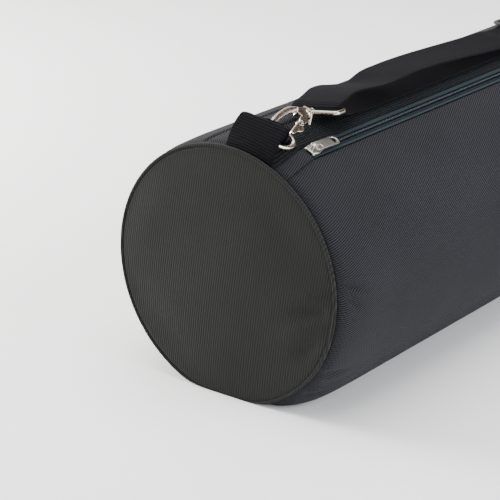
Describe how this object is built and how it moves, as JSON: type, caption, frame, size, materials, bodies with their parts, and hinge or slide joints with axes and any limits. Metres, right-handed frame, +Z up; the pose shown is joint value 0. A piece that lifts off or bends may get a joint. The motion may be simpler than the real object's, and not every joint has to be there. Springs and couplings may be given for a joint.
{
  "type": "yoga kit bag",
  "caption": "Soft drum-shaped canvas bag for a rolled mat, with a zipped top, a mesh strip and an adjustable webbing strap on snap hooks.",
  "frame": {"origin": "on the surface that the bag lies on, under the middle of its box", "axes": "+X along the bag away from the end that the picture shows, -Y the side with the zip, +Z up"},
  "size_m": [0.686, 0.2158, 0.2189],
  "materials": {
    "body_canvas": "dark grey twill canvas",
    "end_canvas": "charcoal twill canvas",
    "spacer_mesh": "black knitted spacer mesh",
    "webbing": "black woven webbing",
    "zip_tape": "grey woven tape",
    "zip_coil": "moulded nylon coil",
    "nickel": "polished nickel plate",
    "slider_plastic": "moulded acetal"
  },
  "bodies": {
    "bag": {"body_panel": "body_canvas", "end_panel_near": "end_canvas", "end_panel_far": "end_canvas", "top_strip": "body_canvas", "mesh_panel": "spacer_mesh", "zip_tape_upper": "zip_tape", "zip_tape_lower": "zip_tape", "zip_teeth": "zip_coil", "zip_cover_near": "body_canvas", "zip_cover_far": "body_canvas", "zip_slider": "nickel", "strap_tab_near": "webbing", "strap_tab_far": "webbing", "hook_body_near": "nickel", "hook_body_far": "nickel", "hook_loop_near": "nickel", "hook_loop_far": "nickel", "strap": "webbing", "strap_slider": "slider_plastic"},
    "gate_near": {"hook_gate_near": "nickel"},
    "gate_far": {"hook_gate_far": "nickel"},
    "pull": {"zip_pull": "nickel"}
  },
  "joints": [
    {"name": "gate_near_hinge", "type": "hinge", "parent": "bag", "child": "gate_near", "pos_m": [-0.28679, -0.02652, 0.20419], "axis": [0.0069, 0.7082, -0.706], "range_deg": [0, 28], "stiffness_Nm_per_rad": 0.02, "springref_deg": -11.46},
    {"name": "gate_far_hinge", "type": "hinge", "parent": "bag", "child": "gate_far", "pos_m": [0.28679, -0.02652, 0.20419], "axis": [0.0069, -0.7082, 0.706], "range_deg": [0, 28], "stiffness_Nm_per_rad": 0.02, "springref_deg": -11.46},
    {"name": "pull_hinge", "type": "hinge", "parent": "bag", "child": "pull", "pos_m": [-0.2958, -0.04605, 0.19219], "axis": [0, -0.9107, -0.4131], "range_deg": [0, 150]}
  ]
}
